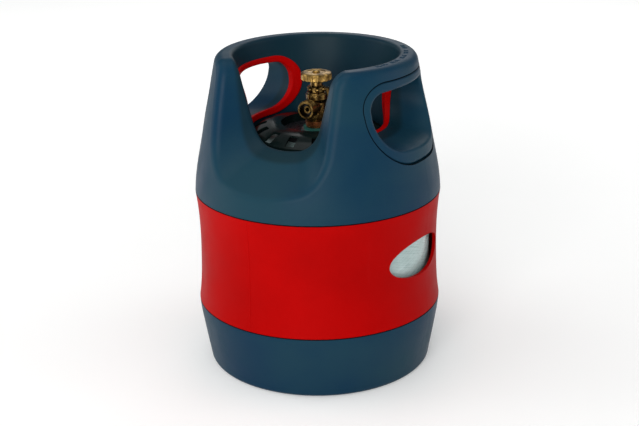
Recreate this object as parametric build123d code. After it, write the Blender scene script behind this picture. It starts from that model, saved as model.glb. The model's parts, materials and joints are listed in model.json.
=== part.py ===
from build123d import *
import math
import os

# Composite gas cylinder: a filament-wound vessel in a three-piece plastic casing, with a brass valve.
# Millimetres, +Z up, origin at the centre of the base. The valve outlet and the access opening face -Y.

# ---- Driving dimensions: casing ----
HEIGHT = 392.0
LOWER_SEAM = 81.5
UPPER_SEAM = 223.5
WALL = 4.0
SEAM_CHAMFER = 0.8
FOOT_RADIUS = 135.5
FOOT_INNER_RADIUS = 127.0
BASE_PLATE_Z = 6.0
BASE_HOLE_RADIUS = 40.0

FOOT_CURVE_RADIUS = 6.5
RIB_COUNT = 12
RIB_WIDTH = 3.0
RIB_START = 55.0
RIB_END = 141.0
RIB_TOP = 46.0
DRAIN_COUNT = 6
DRAIN_RADIUS = 6.0
DRAIN_CIRCLE = 90.0

# Outer radius against height, from seam to seam
LOWER_OUTLINE = [
    (140.6, 6.0),
    (143.9, 25.0),
    (148.2, 50.0),
    (151.3, 70.0),
    (152.3, LOWER_SEAM - SEAM_CHAMFER),
]
BAND_OUTLINE = [
    (152.3, LOWER_SEAM + SEAM_CHAMFER),
    (149.4, 108.0),
    (148.4, 132.0),
    (148.4, 182.0),
    (150.0, 206.0),
    (152.0, UPPER_SEAM - SEAM_CHAMFER),
]
UPPER_OUTLINE = [
    (152.0, UPPER_SEAM + SEAM_CHAMFER),
    (150.9, 238.0),
    (141.8, 288.0),
    (134.3, 328.0),
    (126.1, 367.0),
    (122.3, HEIGHT - 6.0),
]
RIM_DRAFT = 1.3
RIM_ROUND = 5.0

# ---- Collar, access opening and handles ----
COLLAR_RIM_RADIUS = 99.6
COLLAR_TAPER = 0.178
COLLAR_RIM_Z = 387.5
LIP_Z = 294.5
APRON_SLOPE = 0.66
SCOOP_FLARE = 0.88
SCOOP_LEAN = 0.258
SCOOP_START_Y = 52.0
SCOOP_NEAR_Y = 77.0
SCOOP_NEAR_HALF = 38.6
SCOOP_CORNER = 30.0
SCOOP_TOP_ROUND = 28.0
SCOOP_CORNER_GROWTH = 0.25
SCOOP_CLEAR_HALF = 260.0
SCOOP_CLEAR_TOP = 30.0
SCOOP_FAR_Y = 165.0
SCOOP_EDGE_ROUND = 11.0
SCOOP_WALL = 8.0
COLLAR_SKIN_RADIUS = 112.0
DISC_LEDGE_Z = 288.0
DISC_LEDGE_RADIUS = 77.0
DISC_LEDGE_THICKNESS = 3.0

GRIP_INNER_X = 50.0
GRIP_INNER = dict(half=54.5, low=312.4, high=357.8, low_round=29.0, high_round=14.0)
GRIP_OUTER_X = 155.0
GRIP_OUTER = dict(half=79.9, low=289.4, high=369.1, low_round=47.0, high_round=26.0)
GRIP_MOUTH_ROUND = 4.0
INSERT_OUTLINE = dict(half=80.0, low=276.0, high=377.3, low_round=60.0, high_round=33.0)
RING_OUTLINE = dict(half=69.0, low=297.6, high=369.0, low_round=45.0, high_round=24.0)
INSERT_GAP = 0.5
INSERT_WALL = 3.5
INSERT_SEAT_DEPTH = 6.0
INSERT_FREE_DEPTH = 8.0
INSERT_START_X = 60.0
INSERT_END_X = 170.0
RING_PROUD = 3.0
RING_DEPTH = 3.5
RING_ROUND = 1.6
RING_CLEARANCE = 0.4

# ---- Lap joints between the casing pieces ----
LAP_INNER = 144.2
LAP_OUTER = 146.8
LAP_LENGTH = 9.5
LAP_CLEARANCE = 0.4
LAP_ROOT = 3.5
LAP_TAPER = 1.2
SEAM_GAP = 0.7
SEAM_DEPTH_RADIUS = 149.0

# ---- Band window over the vessel ----
WINDOW_ANGLE = 84.5
WINDOW_Z = 158.7
WINDOW_HALF_WIDTH = 55.3
WINDOW_HALF_HEIGHT = 23.3

# ---- Floor disc ----
DISC_OUTLINE = [(44.0, 305.0), (55.0, 304.4), (66.0, 302.0), (75.0, 297.9), (81.6, 292.6)]
DISC_THICKNESS = 2.6
DISC_LIP = 2.2
DISC_SLOTS = 15
DISC_TURN = 3.8
SLOT_WIDTH = 11.5
SLOT_INNER = 62.0
SLOT_OUTER = 79.5
SLOT_CORNER = 1.5

# ---- Vessel ----
VESSEL_RADIUS = 139.5
DOME_HEIGHT = 80.0
DOME_LOW_Z = 93.5
DOME_HIGH_Z = 214.0
VESSEL_CLEARANCE = 0.3
WRAP_THICKNESS = 4.5
LINER_THICKNESS = 2.5
BOSS_RADIUS = 17.5
BOSS_FLANGE_RADIUS = 36.0
BOSS_FLANGE = 4.0
BOSS_LOW_Z = 280.0
BOSS_TOP_Z = 295.0
NECK_BORE = 12.7

# ---- Soft ring on the vessel's shoulder ----
PAD_RADIUS = 47.0
PAD_LOW_Z = 286.0
PAD_TOP_Z = 294.6

# ---- Neck stack: liner lip, seal, washer and gasket under the valve ----
LINER_LIP_RADIUS = 21.0
BOSS_SEAL_RADIUS = 29.0
BOSS_SEAL_SECTION = 1.5
BOSS_SEAL_Z = 283.6
BOSS_WASHER_RADIUS = 19.0
WASHER_TOP_Z = 296.6
GASKET_RADIUS = 16.5
GASKET_TOP_Z = 299.4

# ---- Valve body ----
FIT = 0.05
NECK_LOW_Z = 268.0
NECK_RADIUS = 13.4
NECK_GROOVES = 5
GROOVE_PITCH = 1.8
GROOVE_DEPTH = 0.6
INLET_RADIUS = 3.5
HEX_LOW_Z = 309.5
HEX_HEIGHT = 8.5
HEX_ACROSS = 27.0
HEX_CHAMFER = 1.2
BODY_RADIUS = 11.5
BODY_FLARE_Z = 330.0
BODY_HEAD_Z = 334.5
BODY_HEAD_RADIUS = 13.0
BODY_TOP_Z = 341.0
BODY_CHAMFER = 1.0
OUTLET_Z = 325.4
OUTLET_RADIUS = 10.9
OUTLET_REACH = 28.5
OUTLET_LAND = 12.0
OUTLET_WAIST = 1.4
OUTLET_CHAMFER = 0.8
OUTLET_BORE = 8.3
OUTLET_DEPTH = 13.0
NOZZLE_RADIUS = 4.4
NOZZLE_BORE = 2.6
NOZZLE_RECESS = 4.5
OUTLET_SEAL_THICKNESS = 2.0
SEAT_FLOOR_Z = 319.5
SEAT_Z = 321.0
SEAT_RADIUS = 3.6
SEAT_BORE = 2.2
CHAMBER_RADIUS = 8.0
THREAD_LOW_Z = 327.0

# ---- Gland, spindles and handwheel ----
GLAND_LOW_Z = 336.0
GLAND_THREAD = 8.5
GLAND_RADIUS = 11.6
GLAND_CORE = 9.3
GLAND_NECK = 6.9
GLAND_SHOULDER_Z = 349.0
GLAND_TOP_Z = 355.6
GLAND_LOBES = 6
LOBE_Z = 346.2
LOBE_RADIUS = 3.1
LOBE_TURN = 5.0
STEM_SEAL_Z = (339.0, 344.0)
STEM_SEAL_WIDTH = 2.0
STEM_SEAL_HEIGHT = 2.2
SPINDLE_RADIUS = 4.0
FLANGE_LOW_Z = 333.7
FLANGE_TOP_Z = 335.9
FLANGE_RADIUS = 6.1
BLADE_LOW_Z = 326.5
BLADE_WIDTH = 7.0
BLADE_THICKNESS = 2.4
DRIVE_SQUARE = 6.4
HUB_RADIUS = 6.5
HUB_TOP_Z = 366.4
STUD_RADIUS = 2.4
STUD_TOP_Z = 368.2
NUT_RADIUS = 4.6
NUT_HEIGHT = 2.9
NUT_CONE_Z = 1.2
NUT_SLOT = 1.2
WHEEL_RADIUS = 18.7
WHEEL_LOW_Z = 357.7
WHEEL_HIGH_Z = 366.9
WHEEL_SCALLOPS = 18
SCALLOP_RADIUS = 2.6
SCALLOP_DEPTH = 0.9
WHEEL_SKIRT = 3.2
WHEEL_WEB_Z = 4.5
WHEEL_SHOULDER = 2.4
CARRIER_RADIUS = 6.2
CARRIER_LOW_Z = 322.0
CARRIER_TOP_Z = 331.4
CARRIER_SLOT_Z = 324.4
CARRIER_SLOT_PLAY = 0.3
SEAT_DISC_RADIUS = 4.2
SEAT_DISC_LOW_Z = 321.1
SEAT_DISC_TOP_Z = 323.6

# ---- Relief valve, in a turret behind the spindle ----
RELIEF_Y = 21.5
RELIEF_RADIUS = 7.2
RELIEF_LOW_Z = 309.5
RELIEF_TOP_Z = 340.0
RELIEF_BORE = 5.2
RELIEF_FLOOR_Z = 318.0
RELIEF_PORT = 1.6
RELIEF_DUCT_Z = 313.5
RELIEF_CAP_LOW_Z = 336.0
RELIEF_HEAD = 2.5
RELIEF_VENT_WIDTH = 1.6
RELIEF_VENT_DEPTH = 1.2
RELIEF_WEB_HEIGHT = 20.0
RELIEF_WEB_INSET = 1.5
POPPET_LOW_Z = 318.8
POPPET_TOP_Z = 323.0
POPPET_STEM = 1.6
POPPET_STEM_TOP_Z = 337.5
POPPET_SEAL_RADIUS = 3.6
POPPET_SEAL_LOW_Z = 318.05
POPPET_SEAL_DEPTH = 1.6
SPRING_WIRE = 0.45
SPRING_RADIUS = 3.4
SPRING_PITCH = 2.3


# Overrun of a cutting shape past the face that it opens
PAST = 1.0
ON_BASE = (Align.CENTER, Align.CENTER, Align.MIN)


# ---- Helpers ----
def turned(*edges):
    """Solid of revolution about Z of a closed outline drawn as (radius, height)."""
    return revolve(Plane.XZ * make_face(edges), Axis.Z)


def turned_polygon(*points):
    return turned(Polyline(*points, close=True))


def tube(inner, outer, low, high):
    return turned_polygon((inner, low), (outer, low), (outer, high), (inner, high))


def rod(radius, low, high, x=0.0, y=0.0):
    return Pos(x, y, low) * Cylinder(radius, high - low, align=ON_BASE)


def block(width, depth, low, high, y=0.0):
    """Upright box, width along X and depth along Y, between two heights."""
    return Pos(0, y, low) * Box(width, depth, high - low, align=ON_BASE)


def rod_along_y(radius, start, end, z):
    """Rod from y = start to y = end at height z."""
    upright = Cylinder(radius, abs(end - start), align=ON_BASE)
    turn = -90 if end > start else 90
    return Pos(0, start, z) * Rot(turn, 0, 0) * upright


def inset_points(points, inset):
    return [(radius - inset, height) for radius, height in points]


def collar_radius(z):
    return COLLAR_RIM_RADIUS + (z - COLLAR_RIM_Z) * COLLAR_TAPER


def vessel(inset=0.0):
    """Solid capsule with elliptical domes, its surface moved inwards by the inset."""
    radius = VESSEL_RADIUS - inset
    dome = DOME_HEIGHT - inset
    top = EllipticalCenterArc((0, DOME_HIGH_Z), radius, dome, start_angle=0, arc_size=90)
    bottom = EllipticalCenterArc((0, DOME_LOW_Z), radius, dome, start_angle=270, arc_size=90)
    side = Line((radius, DOME_LOW_Z), (radius, DOME_HIGH_Z))
    axis = Line((0, DOME_HIGH_Z + dome), (0, DOME_LOW_Z - dome))
    return turned(top, axis, bottom, side)


def rounded_opening(half, low, high, low_round, high_round, grow=0.0):
    """Face in (width, height), wide corners below and tighter ones above."""
    height = high - low + 2 * grow
    plate = Pos(0, (high + low) / 2) * Rectangle(2 * (half + grow), height)
    corners = plate.vertices().group_by(Axis.Y)
    plate = fillet(corners[0], low_round + grow)
    return fillet(plate.vertices().group_by(Axis.Y)[-1], high_round + grow)


def prism_x(face, start, end):
    """Face drawn as (y, z), carried along +X."""
    return Pos(start, 0, 0) * extrude(Plane.YZ * face, end - start)


# ---- Casing ----
def upper_blank(inset=0.0):
    """Collar and shoulder as one turned solid between the outer skin and the collar wall."""
    outline = Spline(inset_points(UPPER_OUTLINE, inset))
    start = outline @ 0
    finish = outline @ 1
    top_z = HEIGHT - inset
    inner_top = collar_radius(HEIGHT) + inset
    inner_low = collar_radius(UPPER_SEAM) + inset
    rim = Polyline(finish, (finish.X - RIM_DRAFT, top_z), (inner_top, top_z), (inner_low, UPPER_SEAM))
    base = Polyline((inner_low, UPPER_SEAM), (start.X - SEAM_CHAMFER, UPPER_SEAM), start)
    return turned(outline, rim, base)


def scoop_face(y, grow):
    """Section of the access opening at a distance y in front of the axis. Its flanks lean outwards."""
    reach = y - SCOOP_NEAR_Y
    low = LIP_Z - APRON_SLOPE * (y - collar_radius(LIP_Z)) - grow
    near_low = LIP_Z - APRON_SLOPE * (SCOOP_NEAR_Y - collar_radius(LIP_Z))
    half_low = SCOOP_NEAR_HALF + SCOOP_FLARE * reach + grow - SCOOP_LEAN * (near_low - low)
    rim_z = HEIGHT - grow
    half_rim = half_low + SCOOP_LEAN * (rim_z - low)
    top_z = HEIGHT + SCOOP_CLEAR_TOP
    right = [(half_low, low), (half_rim, rim_z), (SCOOP_CLEAR_HALF, rim_z), (SCOOP_CLEAR_HALF, top_z)]
    left = [(-x, z) for x, z in reversed(right)]
    outline = make_face(Polyline(*right, *left, close=True))
    mouth = [vertex for vertex in outline.vertices().group_by(Axis.Y)[1] if abs(vertex.X) < half_rim + 1]
    outline = fillet(mouth, SCOOP_TOP_ROUND - grow)
    corner = SCOOP_CORNER + grow + SCOOP_CORNER_GROWTH * reach
    outline = fillet(outline.vertices().group_by(Axis.Y)[0], corner)
    return Pos(0, -y, 0) * (Plane.XZ * outline)


def scoop(grow=0.0):
    """The access opening and the apron below it, widening forwards."""
    return loft([scoop_face(SCOOP_START_Y, grow), scoop_face(SCOOP_FAR_Y, grow)], ruled=True)


def is_collar_edge(edge):
    """True for the edges where the opening breaks through the collar wall."""
    for position in (0.1, 0.5, 0.9):
        point = edge.position_at(position)
        if abs(math.hypot(point.X, point.Y) - collar_radius(point.Z)) > 0.05:
            return False
        if not LIP_Z - 3 < point.Z < HEIGHT - 0.5:
            return False
    return True


def is_skin_edge(edge):
    """True for the edges where the opening breaks through the outer skin."""
    middle = edge.center()
    outside = math.hypot(middle.X, middle.Y) > COLLAR_SKIN_RADIUS
    return outside and middle.Y < -SCOOP_START_Y and UPPER_SEAM + WALL < middle.Z < HEIGHT - 0.5


def rounded_collar():
    """Collar and shoulder with the opening cut and every visible edge blended, still solid inside."""
    body = upper_blank() - scoop()
    body = fillet(body.edges().filter_by(is_skin_edge), SCOOP_EDGE_ROUND)
    rim = body.edges().filter_by(lambda edge: edge.bounding_box().min.Z > HEIGHT - 0.01)
    lip = body.edges().filter_by(is_collar_edge)
    return fillet(rim + lip, RIM_ROUND)


def grip_tunnel(grow=0.0):
    """Hand hole on the +X side, wider at the skin than at the collar wall."""
    mouth = Pos(GRIP_INNER_X, 0, 0) * (Plane.YZ * rounded_opening(**GRIP_INNER, grow=grow))
    skin = Pos(GRIP_OUTER_X, 0, 0) * (Plane.YZ * rounded_opening(**GRIP_OUTER, grow=grow))
    return loft([mouth, skin], ruled=True)


def collar_layer(depth_behind, depth_before):
    """Ring of space that follows the collar wall, some way behind it and some way before it."""
    wall_low = collar_radius(UPPER_SEAM)
    wall_high = collar_radius(HEIGHT)
    return turned_polygon(
        (wall_low - depth_before, UPPER_SEAM),
        (wall_low + depth_behind, UPPER_SEAM),
        (wall_high + depth_behind, HEIGHT),
        (wall_high - depth_before, HEIGHT),
    )


def inner_block(inset):
    """Everything inside the shoulder's outer skin, moved in by the inset."""
    outline = Spline(inset_points(UPPER_OUTLINE, inset))
    low, high = outline @ 0, outline @ 1
    return turned(outline, Polyline(high, (0, high.Y), (0, low.Y), low))


def both_sides(part):
    return part + mirror(part, Plane.YZ)


def insert_panel(grow=0.0):
    """Block whose outline is that of the panel round the hand hole on the +X side."""
    return prism_x(rounded_opening(**INSERT_OUTLINE, grow=grow), INSERT_START_X, INSERT_END_X)


def seam_groove(seam):
    """Narrow groove that shows between two casing pieces."""
    return tube(SEAM_DEPTH_RADIUS, VESSEL_RADIUS + 20.0, seam - SEAM_GAP / 2, seam + SEAM_GAP / 2)


def make_upper_casing(collar):
    """One moulding: collar wall, skin and apron, hollow between, with a seat cut for each grip insert."""
    hollow = upper_blank(WALL) - scoop(SCOOP_WALL)
    shell = collar - hollow - both_sides(insert_panel() - inner_block(INSERT_SEAT_DEPTH))
    shell -= both_sides(grip_tunnel(INSERT_WALL + RING_CLEARANCE))
    ledge_outer = collar_radius(DISC_LEDGE_Z) + 1.0
    shell += tube(DISC_LEDGE_RADIUS, ledge_outer, DISC_LEDGE_Z - DISC_LEDGE_THICKNESS, DISC_LEDGE_Z)
    shell -= [vessel(-VESSEL_CLEARANCE), seam_groove(UPPER_SEAM)]
    lap_top = UPPER_SEAM + LAP_LENGTH + PAST
    return shell - tube(LAP_INNER - PAST, LAP_OUTER + LAP_CLEARANCE, UPPER_SEAM - PAST, lap_top)


def is_grip_mouth_edge(edge):
    """True for the edges where the hand hole on the +X side breaks through the outer skin."""
    middle = edge.center()
    inside_width = abs(middle.Y) < GRIP_OUTER["half"] - 6.0
    inside_height = GRIP_OUTER["low"] < middle.Z < GRIP_OUTER["high"]
    return inside_width and inside_height and middle.X > collar_radius(HEIGHT) + WALL


def make_grip_insert(collar):
    """Flush panel and tunnel wall round the hand hole on the +X side."""
    panel = insert_panel(-INSERT_GAP)
    insert = (collar & panel) - grip_tunnel()
    insert = fillet(insert.edges().filter_by(is_grip_mouth_edge), GRIP_MOUTH_ROUND)
    hollow = (upper_blank(WALL) & panel) - grip_tunnel(INSERT_WALL)
    casing_wall = collar_layer(INSERT_FREE_DEPTH, INSERT_FREE_DEPTH) - grip_tunnel(INSERT_WALL)
    return insert - [hollow, casing_wall, collar_layer(RING_DEPTH, RING_DEPTH)]


def is_bead_edge(edge):
    """True for the edges of the grip ring's raised face."""
    for position in (0.1, 0.5, 0.9):
        point = edge.position_at(position)
        if abs(math.hypot(point.X, point.Y) - collar_radius(point.Z) + RING_PROUD) > 0.02:
            return False
    return True


def make_grip_ring():
    """Raised bead on the collar wall and the lining behind it, on the +X side."""
    bead = collar_layer(0.0, RING_PROUD) & prism_x(rounded_opening(**RING_OUTLINE), 0.0, INSERT_END_X)
    lining = collar_layer(RING_DEPTH - RING_CLEARANCE, RING_PROUD) & grip_tunnel(INSERT_WALL)
    ring = bead + lining - grip_tunnel()
    return fillet(ring.edges().filter_by(is_bead_edge), RING_ROUND)


def make_middle_band():
    outer = Spline(BAND_OUTLINE)
    inner = Spline(list(reversed(inset_points(BAND_OUTLINE, WALL))))
    low = outer @ 0
    high = outer @ 1
    high_inner = inner @ 0
    low_inner = inner @ 1
    upper_lip = Polyline(high, (high.X - SEAM_CHAMFER, UPPER_SEAM), (high_inner.X, UPPER_SEAM), high_inner)
    lower_lip = Polyline(low_inner, (low_inner.X, LOWER_SEAM), (low.X - SEAM_CHAMFER, LOWER_SEAM), low)
    band = turned(outer, upper_lip, inner, lower_lip)
    root = low.X - LAP_ROOT
    for seam, way in ((LOWER_SEAM, -1), (UPPER_SEAM, 1)):
        band += turned_polygon(
            (LAP_INNER, seam + way * LAP_LENGTH),
            (LAP_OUTER, seam + way * LAP_LENGTH),
            (LAP_OUTER, seam),
            (root, seam),
            (root - LAP_TAPER, seam - way * LAP_LENGTH),
            (LAP_INNER, seam - way * LAP_LENGTH * 0.6),
        )
    window = Pos(0, WINDOW_Z) * Ellipse(WINDOW_HALF_WIDTH, WINDOW_HALF_HEIGHT)
    window = Rot(0, 0, WINDOW_ANGLE - 90) * prism_x(window, PAST, INSERT_END_X)
    return band - [window, seam_groove(LOWER_SEAM), seam_groove(UPPER_SEAM)]


def make_lower_casing():
    """Lower casing with its foot ring, a base plate, and ribs that cradle the vessel's lower dome."""
    outer = Spline(LOWER_OUTLINE)
    inner = Spline(list(reversed(inset_points(LOWER_OUTLINE, WALL))))
    high = outer @ 1
    high_inner = inner @ 0
    plate_z = BASE_PLATE_Z + WALL
    foot = RadiusArc((FOOT_RADIUS, 0), outer @ 0, -FOOT_CURVE_RADIUS)
    seam = Polyline(high, (high.X - SEAM_CHAMFER, LOWER_SEAM), (high_inner.X, LOWER_SEAM), high_inner)
    floor = Polyline(
        inner @ 1,
        ((inner @ 1).X - 3.0, plate_z),
        (BASE_HOLE_RADIUS, plate_z),
        (BASE_HOLE_RADIUS, BASE_PLATE_Z),
        (FOOT_INNER_RADIUS - 4.0, BASE_PLATE_Z),
        (FOOT_INNER_RADIUS, 0),
        (FOOT_RADIUS, 0),
    )
    casing = turned(foot, outer, seam, inner, floor)
    rib = block(RIB_END - RIB_START, RIB_WIDTH, plate_z - PAST, RIB_TOP)
    rib = Pos((RIB_START + RIB_END) / 2, 0, 0) * rib
    casing += [Rot(0, 0, index * 360 / RIB_COUNT) * rib for index in range(RIB_COUNT)]
    casing -= vessel(-VESSEL_CLEARANCE)
    drain = Rot(0, 0, 180 / RIB_COUNT) * rod(DRAIN_RADIUS, 0, 2 * plate_z, x=DRAIN_CIRCLE)
    casing -= [Rot(0, 0, index * 360 / DRAIN_COUNT) * drain for index in range(DRAIN_COUNT)]
    return casing - seam_groove(LOWER_SEAM)


# ---- Floor disc and vessel ----
def make_floor_disc():
    """Domed cover on the vessel's shoulder, slotted all round, with a turned-down inner lip."""
    top = Spline(DISC_OUTLINE)
    (inner_radius, inner_z), (outer_radius, outer_z) = DISC_OUTLINE[0], DISC_OUTLINE[-1]
    under = Spline([(radius - 0.6, z - DISC_THICKNESS) for radius, z in reversed(DISC_OUTLINE[1:])])
    rim = Polyline(top @ 1, (outer_radius, DISC_LEDGE_Z), (outer_radius - DISC_LIP, DISC_LEDGE_Z), under @ 0)
    lip = Polyline(
        under @ 1,
        (inner_radius + DISC_LIP, inner_z - DISC_THICKNESS),
        (inner_radius + DISC_LIP, PAD_TOP_Z),
        (inner_radius, PAD_TOP_Z),
        (inner_radius, inner_z),
    )
    disc = turned(top, rim, under, lip)
    slot = block(SLOT_OUTER - SLOT_INNER, SLOT_WIDTH, PAD_LOW_Z, HEIGHT)
    slot = Pos((SLOT_INNER + SLOT_OUTER) / 2, 0, 0) * fillet(slot.edges().filter_by(Axis.Z), SLOT_CORNER)
    turn = DISC_TURN - 90
    return disc - [Rot(0, 0, index * 360 / DISC_SLOTS + turn) * slot for index in range(DISC_SLOTS)]


def make_shoulder_pad():
    """Soft ring on the vessel's shoulder that carries the middle of the floor disc."""
    pad = tube(BOSS_WASHER_RADIUS + 0.6, PAD_RADIUS, PAD_LOW_Z, PAD_TOP_Z)
    return pad - vessel(-FIT)


def flange_zone(top_inset, low_inset, inner, outer):
    """Slice of the upper dome between two insets and two radii."""
    return (vessel(top_inset) - vessel(low_inset)) & tube(inner, outer, DOME_HIGH_Z, HEIGHT)


def make_overwrap():
    shell = vessel() - vessel(WRAP_THICKNESS)
    return shell - rod(BOSS_RADIUS, DOME_HIGH_Z, HEIGHT)


def boss_seal():
    return Pos(0, 0, BOSS_SEAL_Z) * Torus(BOSS_SEAL_RADIUS, BOSS_SEAL_SECTION)


def make_neck_boss():
    flange = flange_zone(WRAP_THICKNESS, WRAP_THICKNESS + BOSS_FLANGE, NECK_BORE, BOSS_FLANGE_RADIUS)
    neck = tube(NECK_BORE, BOSS_RADIUS, BOSS_LOW_Z, BOSS_TOP_Z)
    return flange + neck - boss_seal()


def make_liner():
    """Gas-tight liner whose lip wraps under the boss flange."""
    skin = vessel(WRAP_THICKNESS) - vessel(WRAP_THICKNESS + LINER_THICKNESS)
    skin -= rod(BOSS_FLANGE_RADIUS, DOME_HIGH_Z, HEIGHT)
    lip_inset = WRAP_THICKNESS + BOSS_FLANGE
    step_radius = BOSS_FLANGE_RADIUS + LINER_THICKNESS
    lip = flange_zone(lip_inset, lip_inset + LINER_THICKNESS, LINER_LIP_RADIUS, step_radius)
    step = flange_zone(WRAP_THICKNESS, lip_inset + LINER_THICKNESS, BOSS_FLANGE_RADIUS, step_radius)
    return skin + step + lip - boss_seal()


# ---- Valve ----
def valve_hexagon():
    """Spanner flats at the foot of the valve body, with chamfered corners."""
    corner = HEX_ACROSS / math.sqrt(3)
    top_z = HEX_LOW_Z + HEX_HEIGHT
    prism = extrude(Plane.XY.offset(HEX_LOW_Z) * RegularPolygon(corner, 6), HEX_HEIGHT)
    return prism & turned_polygon(
        (0, HEX_LOW_Z),
        (corner - HEX_CHAMFER, HEX_LOW_Z),
        (corner, HEX_LOW_Z + HEX_CHAMFER),
        (corner, top_z - HEX_CHAMFER),
        (corner - HEX_CHAMFER, top_z),
        (0, top_z),
    )


def outlet_barrel():
    """Outlet towards -Y: a waist, then the land that the regulator's nut screws onto."""
    land_start = OUTLET_LAND - OUTLET_REACH
    land = rod_along_y(OUTLET_RADIUS, land_start, -OUTLET_REACH, OUTLET_Z)
    land = chamfer(land.edges().filter_by(GeomType.CIRCLE), OUTLET_CHAMFER)
    return land + rod_along_y(OUTLET_RADIUS - OUTLET_WAIST, 0, land_start, OUTLET_Z)


def neck_grooves():
    """Rings cut round the neck above the gasket, where the thread runs out."""
    outer = NECK_RADIUS + GROOVE_DEPTH
    grooves = []
    for index in range(NECK_GROOVES):
        z = GASKET_TOP_Z + (index + 0.9) * GROOVE_PITCH
        half = GROOVE_PITCH / 2
        grooves.append(turned_polygon((NECK_RADIUS - GROOVE_DEPTH, z), (outer, z - half), (outer, z + half)))
    return grooves


def make_valve_body():
    head = turned_polygon(
        (0, BODY_FLARE_Z),
        (BODY_RADIUS, BODY_FLARE_Z),
        (BODY_HEAD_RADIUS, BODY_HEAD_Z),
        (BODY_HEAD_RADIUS, BODY_TOP_Z - BODY_CHAMFER),
        (BODY_HEAD_RADIUS - BODY_CHAMFER, BODY_TOP_Z),
        (0, BODY_TOP_Z),
    )
    neck = rod(NECK_BORE, NECK_LOW_Z, GASKET_TOP_Z) + rod(NECK_RADIUS, GASKET_TOP_Z, HEX_LOW_Z)
    body = neck + valve_hexagon() + rod(BODY_RADIUS, HEX_LOW_Z, BODY_HEAD_Z) + head + outlet_barrel()
    turret = rod(RELIEF_RADIUS, RELIEF_LOW_Z, RELIEF_TOP_Z, y=RELIEF_Y)
    web_width = 2 * (RELIEF_RADIUS - RELIEF_WEB_INSET)
    web = block(web_width, RELIEF_Y, RELIEF_LOW_Z, RELIEF_LOW_Z + RELIEF_WEB_HEIGHT, y=RELIEF_Y / 2)
    return body + turret + web - neck_grooves() - valve_passages()


def valve_passages():
    """Gas way up the neck, over the seat and out of the nozzle, and the branch to the relief valve."""
    inlet = rod(INLET_RADIUS, NECK_LOW_Z - PAST, SEAT_FLOOR_Z - 2.0)
    inlet += rod(SEAT_BORE, SEAT_FLOOR_Z - 3.0, SEAT_Z + PAST)
    chamber = rod(CHAMBER_RADIUS, SEAT_FLOOR_Z, THREAD_LOW_Z) - rod(SEAT_RADIUS, SEAT_FLOOR_Z - PAST, SEAT_Z)
    thread = rod(CARRIER_RADIUS + FIT, THREAD_LOW_Z - PAST, GLAND_LOW_Z)
    thread += rod(GLAND_THREAD, GLAND_LOW_Z, BODY_TOP_Z + PAST)
    past_face = -OUTLET_REACH - PAST
    cup = rod_along_y(OUTLET_BORE, OUTLET_DEPTH - OUTLET_REACH, past_face, OUTLET_Z)
    cup -= rod_along_y(NOZZLE_RADIUS, 0, NOZZLE_RECESS - OUTLET_REACH, OUTLET_Z)
    nozzle = rod_along_y(NOZZLE_BORE, PAST - CHAMBER_RADIUS, past_face, OUTLET_Z)
    relief = rod(RELIEF_BORE, RELIEF_FLOOR_Z, RELIEF_TOP_Z + PAST, y=RELIEF_Y)
    relief += rod(RELIEF_PORT, RELIEF_DUCT_Z - RELIEF_PORT, RELIEF_FLOOR_Z + PAST, y=RELIEF_Y)
    relief += rod_along_y(RELIEF_PORT, 0, RELIEF_Y, RELIEF_DUCT_Z)
    return inlet + chamber + thread + cup + nozzle + relief


def make_outlet_seal():
    back = OUTLET_DEPTH - OUTLET_REACH
    ring = rod_along_y(OUTLET_BORE, back, back - OUTLET_SEAL_THICKNESS, OUTLET_Z)
    return ring - rod_along_y(NOZZLE_RADIUS, back + PAST, back - OUTLET_SEAL_THICKNESS - PAST, OUTLET_Z)


def stem_seal_ring(inner):
    """One ring at each stem seal height, from an inner radius out to the groove's floor."""
    outer = SPINDLE_RADIUS + STEM_SEAL_WIDTH
    return [tube(inner, outer, z, z + STEM_SEAL_HEIGHT) for z in STEM_SEAL_Z]


def make_stem_seals():
    """Two rings in their grooves, bored clear of the spindle."""
    return stem_seal_ring(SPINDLE_RADIUS + FIT)


def make_gland_nut():
    """Bonnet screwed into the body, with round lobes for the spanner."""
    flange_z = BODY_TOP_Z + 1.4
    nut = rod(GLAND_THREAD, GLAND_LOW_Z, BODY_TOP_Z)
    nut += turned_polygon(
        (0, BODY_TOP_Z),
        (GLAND_RADIUS, BODY_TOP_Z),
        (GLAND_RADIUS, flange_z),
        (GLAND_CORE, flange_z + 1.0),
        (GLAND_CORE, GLAND_SHOULDER_Z),
        (GLAND_NECK + 1.0, GLAND_SHOULDER_Z + 1.6),
        (GLAND_NECK, GLAND_TOP_Z),
        (0, GLAND_TOP_Z),
    )
    lobe = Rot(0, 0, LOBE_TURN) * Pos(GLAND_CORE, 0, LOBE_Z) * Sphere(LOBE_RADIUS)
    nut += [Rot(0, 0, index * 360 / GLAND_LOBES) * lobe for index in range(GLAND_LOBES)]
    nut -= rod(SPINDLE_RADIUS + FIT, GLAND_LOW_Z - PAST, GLAND_TOP_Z + PAST)
    return nut - stem_seal_ring(SPINDLE_RADIUS)


def drive_square(low, high):
    """Square with turned corners, shared by the spindle's end and the wheel's hole."""
    return block(DRIVE_SQUARE, DRIVE_SQUARE, low, high) & rod(SPINDLE_RADIUS, low, high)


def make_upper_spindle():
    shaft = rod(SPINDLE_RADIUS, FLANGE_LOW_Z, WHEEL_LOW_Z) + rod(FLANGE_RADIUS, FLANGE_LOW_Z, FLANGE_TOP_Z)
    blade = block(BLADE_WIDTH, BLADE_THICKNESS, BLADE_LOW_Z, FLANGE_LOW_Z)
    return shaft + blade + drive_square(WHEEL_LOW_Z, HUB_TOP_Z) + rod(STUD_RADIUS, HUB_TOP_Z, STUD_TOP_Z)


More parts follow.
